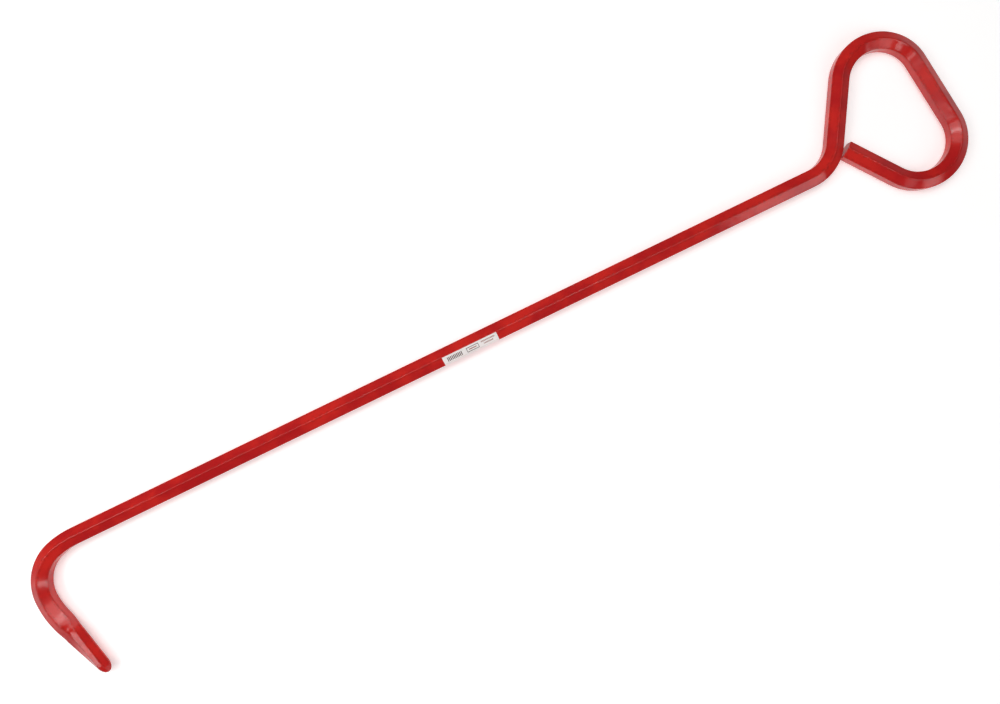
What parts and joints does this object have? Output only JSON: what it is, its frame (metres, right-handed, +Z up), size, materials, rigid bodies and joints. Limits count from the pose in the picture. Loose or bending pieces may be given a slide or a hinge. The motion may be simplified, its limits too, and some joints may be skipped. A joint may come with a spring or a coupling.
{
  "type": "manhole cover hook",
  "caption": "Hand hook for lifting a cover: a hexagonal steel bar with a drawn, blunt point on a bent hook, a long straight shaft and a closed three-sided loop handle.",
  "frame": {"origin": "under the middle of the tool's plan box, on the surface that it lies flat on", "axes": "+X runs along the shaft from the hook to the handle, +Y is the side that the handle's loop leans to (the hook bends to -Y), +Z is up, square to the plane that holds hook, shaft and handle"},
  "size_m": [0.9462, 0.2214, 0.0181],
  "materials": {
    "red_paint": "gloss red paint on forged steel",
    "label_stock": "satin white adhesive label with plain printed marks"
  },
  "bodies": {
    "root": {"hook_bar": "red_paint", "label": "label_stock"}
  },
  "joints": []
}
